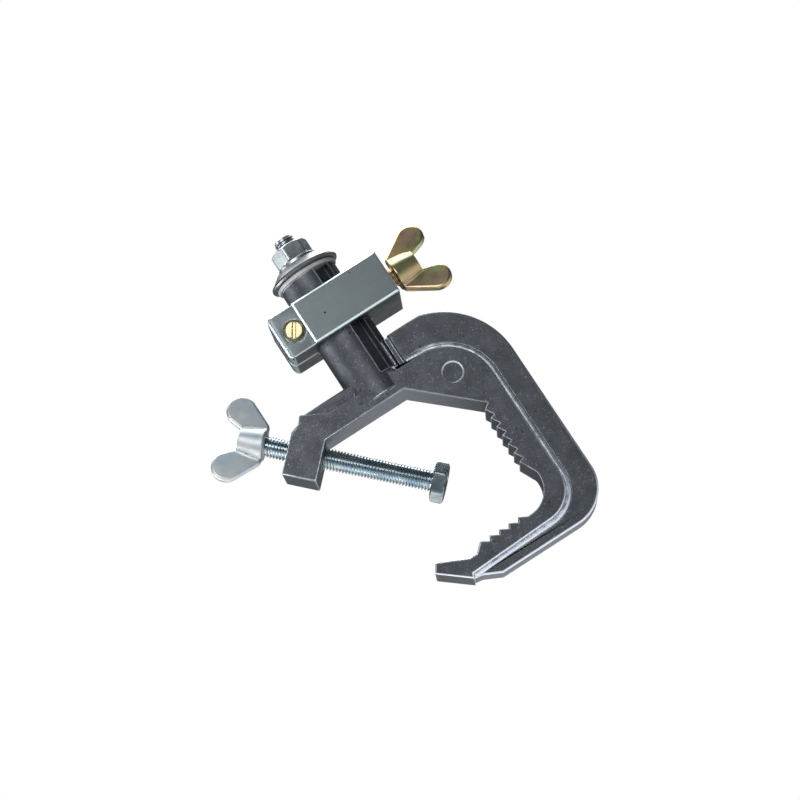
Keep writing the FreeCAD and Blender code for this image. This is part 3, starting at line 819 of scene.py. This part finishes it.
class ClampLockBolt(bpy.types.Operator):
    """Cuts the lock bolt's thread"""
    bl_idname = "clamp.lock_bolt"
    bl_label = "Lock bolt"

    def execute(self, context):
        low, high = along("lock_rod", LOCK_AXIS)
        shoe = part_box("lock_shoe")[1].x
        bm = bmesh.new()
        threaded_bar(bm, THREAD_R, high - shoe - END_GAP, END_TAPER, END_TAPER)
        stem = bmesh.ops.create_cone(bm, cap_ends=True, segments=32, radius1=0.0018, radius2=0.0019,
                                     depth=shoe - low)["verts"]
        bmesh.ops.translate(bm, verts=stem, vec=(0, 0, (low - shoe) / 2 + 0.0002))
        stand(bm, Vector((shoe + END_GAP, 0, PIVOT.z)), LOCK_AXIS)
        piece("lock_rod_threaded", bm, "yellow_zinc", "lock_bolt", ["lock_rod"])
        return {"FINISHED"}


class ClampInside(bpy.types.Operator):
    """Gives the inserts, pins, dowel, ring and shoe their finishes"""
    bl_idname = "clamp.inside"
    bl_label = "Inserts and pins"

    def execute(self, context):
        slots = {"boss_insert": "plain_steel", "lock_insert": "plain_steel",
                 "stud_dowel": "plain_steel", "jaw_foot_ring": "plain_steel",
                 "jaw_wing_pin": "plain_steel", "lock_wing_pin": "plain_steel", "lock_shoe": "brass"}
        for node, slot in slots.items():
            thing = frame["nodes"][node]
            thing.data.materials.clear()
            thing.data.materials.append(finish(slot))
        return {"FINISHED"}


# ---- stage --------------------------------------------------------------------------------------
def soft_light(name, place, target, size, power):
    """Square soft light aimed at a point, hidden from the camera."""
    lamp = bpy.data.lights.new(name, "AREA")
    lamp.shape = "RECTANGLE"
    lamp.size, lamp.size_y = size
    lamp.energy = power
    thing = bpy.data.objects.new(name, lamp)
    thing.location = place
    thing.rotation_mode = "QUATERNION"
    thing.rotation_quaternion = (target - place).to_track_quat("-Z", "Y")
    thing.visible_camera = False
    bpy.context.scene.collection.objects.link(thing)
    return thing


class ClampStageBuild(bpy.types.Operator):
    """Sets the pale floor, the soft lights and the camera"""
    bl_idname = "clamp.stage"
    bl_label = "Stage"

    def execute(self, context):
        stage = context.scene.clamp_stage
        target = Vector(stage.target)
        back = Vector((math.sin(stage.azimuth) * math.cos(stage.elevation),
                       -math.cos(stage.azimuth) * math.cos(stage.elevation),
                       math.sin(stage.elevation)))
        turn = (-back).to_track_quat("-Z", "Y") @ Quaternion((0, 0, 1), stage.roll)
        lens = bpy.data.cameras.new("camera")
        lens.lens = lens.sensor_width * stage.distance / stage.field
        lens.clip_start = 0.01
        camera = bpy.data.objects.new("camera", lens)
        camera.location = target + back * stage.distance
        camera.rotation_mode = "QUATERNION"
        camera.rotation_quaternion = turn
        context.scene.collection.objects.link(camera)
        context.scene.camera = camera
        self.floor(context, stage)
        self.lights(target, turn)
        self.surround(context)
        return {"FINISHED"}

    def floor(self, context, stage):
        bm = bmesh.new()
        bmesh.ops.create_grid(bm, x_segments=2, y_segments=2, size=8.0)
        bmesh.ops.translate(bm, verts=bm.verts, vec=(0, 0, CAD_BOX[0][2] - stage.floor_drop))
        mesh = bpy.data.meshes.new("floor")
        bm.to_mesh(mesh)
        bm.free()
        material, tree, shader, here = new_finish("pale_floor")
        tone = remap(tree, noise(tree, here, 3.0), 0.0, 1.0, 0.5, 0.6)
        tree.links.new(tone, shader.inputs["Roughness"])
        shader.inputs["Base Color"].default_value = (0.92, 0.92, 0.92, 1)
        mesh.materials.append(material)
        floor = bpy.data.objects.new("floor", mesh)
        context.scene.collection.objects.link(floor)

    def lights(self, target, turn):
        for name, place, size, power in CAMERA_LIGHTS:
            soft_light(name, target + turn @ Vector(place), target, size, power)
        for name, place, size, power in ROOM_LIGHTS:
            soft_light(name, target + Vector(place), target, size, power)

    def surround(self, context):
        """White to the camera, a quieter grey to the metal."""
        world = bpy.data.worlds.new("surround")
        world.use_nodes = True
        context.scene.world = world
        tree = world.node_tree
        tree.nodes.clear()
        seen = add(tree, "ShaderNodeBackground", {"Color": (1, 1, 1, 1), "Strength": 1.0})
        lit = add(tree, "ShaderNodeBackground", {"Color": (0.95, 0.98, 1, 1), "Strength": 0.09})
        path = tree.nodes.new("ShaderNodeLightPath")
        mixed = add(tree, "ShaderNodeMixShader", {
            0: path.outputs["Is Camera Ray"], 1: lit.outputs[0], 2: seen.outputs[0]})
        out = tree.nodes.new("ShaderNodeOutputWorld")
        tree.links.new(mixed.outputs[0], out.inputs["Surface"])
        context.scene.view_settings.view_transform = "Standard"


class ClampPanel(bpy.types.Panel):
    """Lists the clamp's settings and building steps"""
    bl_idname = "VIEW3D_PT_tube_clamp"
    bl_label = "Tube Clamp"
    bl_space_type = "VIEW_3D"
    bl_region_type = "UI"
    bl_category = "Tube Clamp"

    def draw(self, context):
        for group in (context.scene.clamp_shape, context.scene.clamp_finish, context.scene.clamp_stage):
            box = self.layout.box()
            for key in group.bl_rna.properties.keys():
                if key not in ("rna_type", "name"):
                    box.prop(group, key)
        for step in STEPS:
            self.layout.operator(step.bl_idname)


SETTINGS = {"clamp_shape": ClampShape, "clamp_finish": ClampFinish, "clamp_stage": ClampStage}
STEPS = (ClampCasting, ClampJawScrew, ClampWings, ClampStack, ClampBlock, ClampLockBolt, ClampInside,
         ClampStageBuild)


def register():
    for key, group in SETTINGS.items():
        bpy.utils.register_class(group)
        setattr(bpy.types.Scene, key, PointerProperty(type=group))
    for step in STEPS:
        bpy.utils.register_class(step)
    bpy.utils.register_class(ClampPanel)


def unregister():
    bpy.utils.unregister_class(ClampPanel)
    for step in reversed(STEPS):
        bpy.utils.unregister_class(step)
    for key, group in SETTINGS.items():
        delattr(bpy.types.Scene, key)
        bpy.utils.unregister_class(group)


def main():
    register()
    bpy.ops.clamp.casting()
    bpy.ops.clamp.jaw_screw()
    bpy.ops.clamp.wings()
    bpy.ops.clamp.stack()
    bpy.ops.clamp.block()
    bpy.ops.clamp.lock_bolt()
    bpy.ops.clamp.inside()
    bpy.ops.clamp.stage()


if __name__ == "__main__":
    main()
